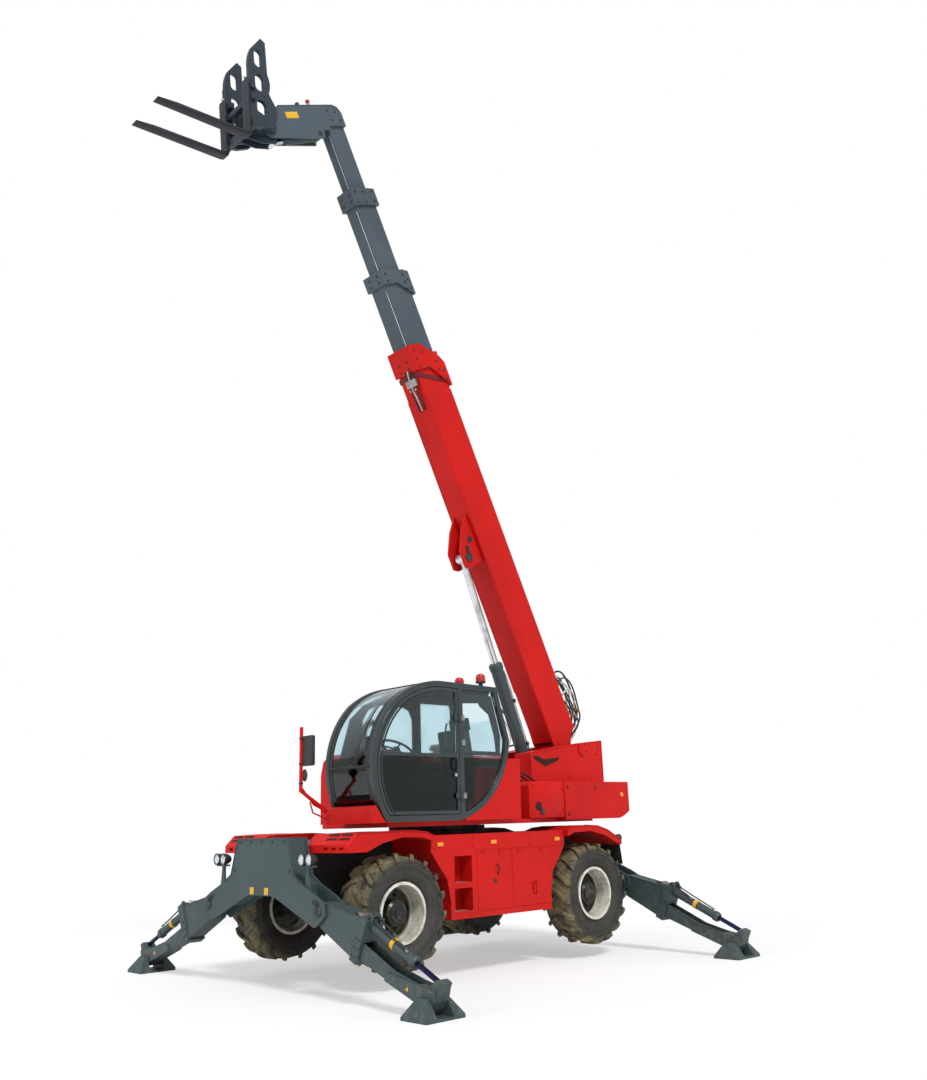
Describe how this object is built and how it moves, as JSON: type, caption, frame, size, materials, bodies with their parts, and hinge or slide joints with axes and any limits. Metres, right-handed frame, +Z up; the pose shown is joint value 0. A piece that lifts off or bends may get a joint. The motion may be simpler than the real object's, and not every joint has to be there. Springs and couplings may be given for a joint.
{
  "type": "rotating telescopic handler with pallet forks",
  "caption": "Rotating telescopic handler: four-section boom on a slewing turret with cab, pallet forks, steered wheels and folding outriggers.",
  "frame": {"origin": "on the floor, under the middle of the whole machine as stored", "axes": "+X forward, +Y to the left (cab side), +Z up"},
  "size_m": [6.9475, 5.3454, 11.0289],
  "materials": {
    "red_paint": "gloss paint",
    "slate_paint": "satin paint",
    "dark_paint": "satin paint",
    "rubber": "muddy",
    "rim_paint": "satin paint",
    "glass": "tinted",
    "steel": "ground",
    "black_steel": "matt",
    "cast": "rough",
    "lamp": "clear",
    "beacon": "clear",
    "trim": "moulded"
  },
  "bodies": {
    "chassis": {"chassis_frame": "dark_paint", "side_boxes": "red_paint", "fenders": "red_paint", "stabiliser_frames": "slate_paint", "headlamps": "lamp", "axles": "cast", "slew_ring": "cast"},
    "turret": {"turret_frame": "red_paint", "counterweight": "red_paint", "engine_block": "cast", "cab_frame": "dark_paint", "cab_glass": "glass", "cab_interior": "trim", "beacons": "beacon", "cab_front_box": "red_paint", "rear_panel": "red_paint"},
    "knuckle_front_left": {"knuckle_front_left": "cast"},
    "wheel_front_left": {"tyre_front_left": "rubber", "rim_front_left": "rim_paint"},
    "knuckle_front_right": {"knuckle_front_right": "cast"},
    "wheel_front_right": {"tyre_front_right": "rubber", "rim_front_right": "rim_paint"},
    "knuckle_rear_left": {"knuckle_rear_left": "cast"},
    "wheel_rear_left": {"tyre_rear_left": "rubber", "rim_rear_left": "rim_paint"},
    "knuckle_rear_right": {"knuckle_rear_right": "cast"},
    "wheel_rear_right": {"tyre_rear_right": "rubber", "rim_rear_right": "rim_paint"},
    "arm_front_left": {"outrigger_arm_front_left": "slate_paint"},
    "leg_front_left": {"outrigger_leg_front_left": "slate_paint"},
    "foot_front_left": {"outrigger_foot_front_left": "slate_paint"},
    "arm_front_right": {"outrigger_arm_front_right": "slate_paint"},
    "leg_front_right": {"outrigger_leg_front_right": "slate_paint"},
    "foot_front_right": {"outrigger_foot_front_right": "slate_paint"},
    "arm_rear_left": {"outrigger_arm_rear_left": "slate_paint"},
    "leg_rear_left": {"outrigger_leg_rear_left": "slate_paint"},
    "foot_rear_left": {"outrigger_foot_rear_left": "slate_paint"},
    "arm_rear_right": {"outrigger_arm_rear_right": "slate_paint"},
    "leg_rear_right": {"outrigger_leg_rear_right": "slate_paint"},
    "foot_rear_right": {"outrigger_foot_rear_right": "slate_paint"},
    "boom": {"boom_outer": "red_paint"},
    "second": {"boom_second": "slate_paint"},
    "third": {"boom_third": "slate_paint"},
    "inner": {"boom_inner": "slate_paint"},
    "lift_barrel": {"lift_barrel": "slate_paint"},
    "lift_rod": {"lift_rod": "steel"},
    "carriage": {"fork_carriage": "slate_paint", "fork_tines": "black_steel"},
    "tilt_barrel": {"tilt_barrel": "slate_paint"},
    "tilt_rod": {"tilt_rod": "steel"},
    "door": {"cab_door": "dark_paint", "door_glass": "glass"},
    "hood": {"engine_hood": "red_paint"}
  },
  "joints": [
    {"name": "slew", "type": "hinge", "parent": "chassis", "child": "turret", "pos_m": [-0.74535, 0, 1.55], "axis": [0, 0, 1], "continuous": true},
    {"name": "steer_front_left", "type": "hinge", "parent": "chassis", "child": "knuckle_front_left", "pos_m": [0.75465, 0.76, 0.718], "axis": [0, 0, 1], "range_deg": [-26, 26]},
    {"name": "wheel_front_left", "type": "hinge", "parent": "knuckle_front_left", "child": "wheel_front_left", "pos_m": [0.75465, 0.98, 0.718], "axis": [0, 1, 0], "continuous": true},
    {"name": "steer_front_right", "type": "hinge", "parent": "chassis", "child": "knuckle_front_right", "pos_m": [0.75465, -0.76, 0.718], "axis": [0, 0, 1], "range_deg": [-26, 26]},
    {"name": "wheel_front_right", "type": "hinge", "parent": "knuckle_front_right", "child": "wheel_front_right", "pos_m": [0.75465, -0.98, 0.718], "axis": [0, 1, 0], "continuous": true},
    {"name": "steer_rear_left", "type": "hinge", "parent": "chassis", "child": "knuckle_rear_left", "pos_m": [-2.24535, 0.76, 0.718], "axis": [0, 0, 1], "range_deg": [-26, 26]},
    {"name": "wheel_rear_left", "type": "hinge", "parent": "knuckle_rear_left", "child": "wheel_rear_left", "pos_m": [-2.24535, 0.98, 0.718], "axis": [0, 1, 0], "continuous": true},
    {"name": "steer_rear_right", "type": "hinge", "parent": "chassis", "child": "knuckle_rear_right", "pos_m": [-2.24535, -0.76, 0.718], "axis": [0, 0, 1], "range_deg": [-26, 26]},
    {"name": "wheel_rear_right", "type": "hinge", "parent": "knuckle_rear_right", "child": "wheel_rear_right", "pos_m": [-2.24535, -0.98, 0.718], "axis": [0, 1, 0], "continuous": true},
    {"name": "arm_front_left", "type": "hinge", "parent": "chassis", "child": "arm_front_left", "pos_m": [1.58065, 1.02, 0.8], "axis": [1, 0, 0], "range_deg": [-6, 88]},
    {"name": "leg_front_left", "type": "slide", "parent": "arm_front_left", "child": "leg_front_left", "axis": [0, -0.91, 0.4147], "range_m": [-0.25, 0.27]},
    {"name": "foot_front_left", "type": "hinge", "parent": "leg_front_left", "child": "foot_front_left", "pos_m": [1.58065, 2.499, 0.126], "axis": [1, 0, 0], "range_deg": [-12, 14]},
    {"name": "arm_front_right", "type": "hinge", "parent": "chassis", "child": "arm_front_right", "pos_m": [1.58065, -1.02, 0.8], "axis": [-1, 0, 0], "range_deg": [-6, 88]},
    {"name": "leg_front_right", "type": "slide", "parent": "arm_front_right", "child": "leg_front_right", "axis": [0, 0.91, 0.4147], "range_m": [-0.25, 0.27]},
    {"name": "foot_front_right", "type": "hinge", "parent": "leg_front_right", "child": "foot_front_right", "pos_m": [1.58065, -2.499, 0.126], "axis": [-1, 0, 0], "range_deg": [-12, 14]},
    {"name": "arm_rear_left", "type": "hinge", "parent": "chassis", "child": "arm_rear_left", "pos_m": [-3.07135, 1.02, 0.8], "axis": [1, 0, 0], "range_deg": [-6, 88]},
    {"name": "leg_rear_left", "type": "slide", "parent": "arm_rear_left", "child": "leg_rear_left", "axis": [0, -0.91, 0.4147], "range_m": [-0.25, 0.27]},
    {"name": "foot_rear_left", "type": "hinge", "parent": "leg_rear_left", "child": "foot_rear_left", "pos_m": [-3.07135, 2.499, 0.126], "axis": [1, 0, 0], "range_deg": [-12, 14]},
    {"name": "arm_rear_right", "type": "hinge", "parent": "chassis", "child": "arm_rear_right", "pos_m": [-3.07135, -1.02, 0.8], "axis": [-1, 0, 0], "range_deg": [-6, 88]},
    {"name": "leg_rear_right", "type": "slide", "parent": "arm_rear_right", "child": "leg_rear_right", "axis": [0, 0.91, 0.4147], "range_m": [-0.25, 0.27]},
    {"name": "foot_rear_right", "type": "hinge", "parent": "leg_rear_right", "child": "foot_rear_right", "pos_m": [-3.07135, -2.499, 0.126], "axis": [-1, 0, 0], "range_deg": [-12, 14]},
    {"name": "boom_lift", "type": "hinge", "parent": "turret", "child": "boom", "pos_m": [-2.94486, 0, 2.46991], "axis": [0, -1, 0], "range_deg": [-66, 14]},
    {"name": "telescope_second", "type": "slide", "parent": "boom", "child": "second", "axis": [0.4365, 0, 0.8997], "range_m": [-0.8, 3]},
    {"name": "telescope_third", "type": "slide", "parent": "second", "child": "third", "axis": [0.4365, 0, 0.8997], "range_m": [-0.8, 3]},
    {"name": "telescope_inner", "type": "slide", "parent": "third", "child": "inner", "axis": [0.4365, 0, 0.8997], "range_m": [-0.8, 3]},
    {"name": "lift_swing", "type": "hinge", "parent": "turret", "child": "lift_barrel", "pos_m": [-2.49535, 0, 1.97], "axis": [0, -1, 0], "range_deg": [-66.83, 14.57]},
    {"name": "lift_stroke", "type": "slide", "parent": "lift_barrel", "child": "lift_rod", "axis": [0.369, 0, 0.9294], "range_m": [-0.7326, 0.1586]},
    {"name": "carriage_tilt", "type": "hinge", "parent": "inner", "child": "carriage", "pos_m": [1.87803, 0, 10.00552], "axis": [0, -1, 0], "range_deg": [-54, 78]},
    {"name": "tilt_swing", "type": "hinge", "parent": "inner", "child": "tilt_barrel", "pos_m": [1.12321, 0, 10.29392], "axis": [0, -1, 0], "range_deg": [-1.04, 1.28]},
    {"name": "tilt_stroke", "type": "slide", "parent": "tilt_barrel", "child": "tilt_rod", "axis": [0.8448, 0, -0.535], "range_m": [-0.1287, 0.1842]},
    {"name": "cab_door", "type": "hinge", "parent": "turret", "child": "door", "pos_m": [-0.07435, 1.164, 2.28], "axis": [0, 0, 1], "range_deg": [0, 110]},
    {"name": "hood_lid", "type": "hinge", "parent": "turret", "child": "hood", "pos_m": [-0.74535, -0.318, 2.408], "axis": [-1, 0, 0], "range_deg": [0, 50]}
  ],
  "couplings": [
    {"joint": "steer_front_right", "follows": "steer_front_left", "ratio": 1},
    {"joint": "steer_rear_right", "follows": "steer_rear_left", "ratio": 1},
    {"joint": "telescope_third", "follows": "telescope_second", "ratio": 1},
    {"joint": "telescope_inner", "follows": "telescope_second", "ratio": 1},
    {"joint": "lift_swing", "follows": "boom_lift", "ratio": 1.005},
    {"joint": "lift_stroke", "follows": "boom_lift", "m_per_rad": 0.63255},
    {"joint": "tilt_swing", "follows": "carriage_tilt", "ratio": 0.01},
    {"joint": "tilt_stroke", "follows": "carriage_tilt", "m_per_rad": 0.13235}
  ]
}
